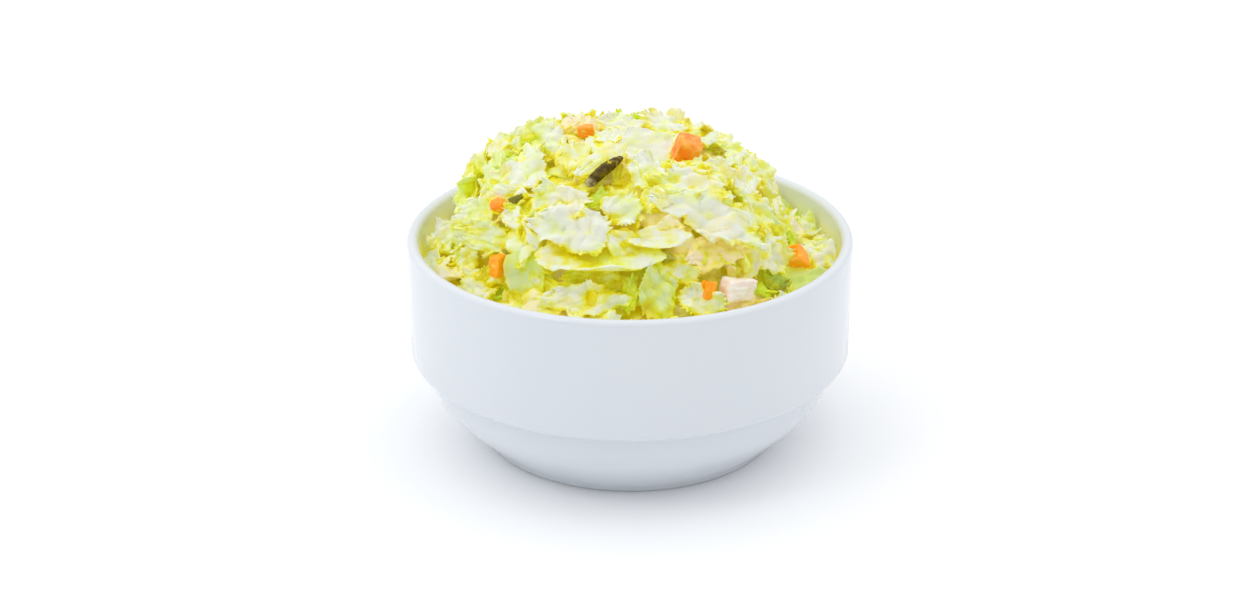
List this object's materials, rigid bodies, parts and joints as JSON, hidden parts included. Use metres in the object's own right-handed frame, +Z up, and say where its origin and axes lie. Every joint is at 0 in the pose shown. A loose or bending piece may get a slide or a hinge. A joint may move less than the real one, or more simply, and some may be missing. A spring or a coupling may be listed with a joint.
{
  "type": "bowl of chopped cabbage salad",
  "caption": "Round white porcelain stacking bowl with a foot ring, heaped above its rim with chopped cabbage salad, carrot dice, a stalk chunk and a strip of pickled gherkin.",
  "frame": {"origin": "on the table, under the centre of the bowl's foot ring", "axes": "+Z up along the bowl's axis, -Y towards the viewer's side of the heap, +X to the viewer's right"},
  "size_m": [0.12, 0.12, 0.0887],
  "materials": {
    "glaze": "gloss",
    "cabbage": "satin",
    "carrot": "satin",
    "gherkin": "satin",
    "stalk": "satin"
  },
  "bodies": {
    "root": {"bowl": "glaze", "cabbage_salad": "cabbage", "carrot_1": "carrot", "carrot_2": "carrot", "carrot_3": "carrot", "carrot_4": "carrot", "carrot_5": "carrot", "carrot_6": "carrot", "gherkin_strip": "gherkin", "stalk_chunk": "stalk"}
  },
  "joints": []
}
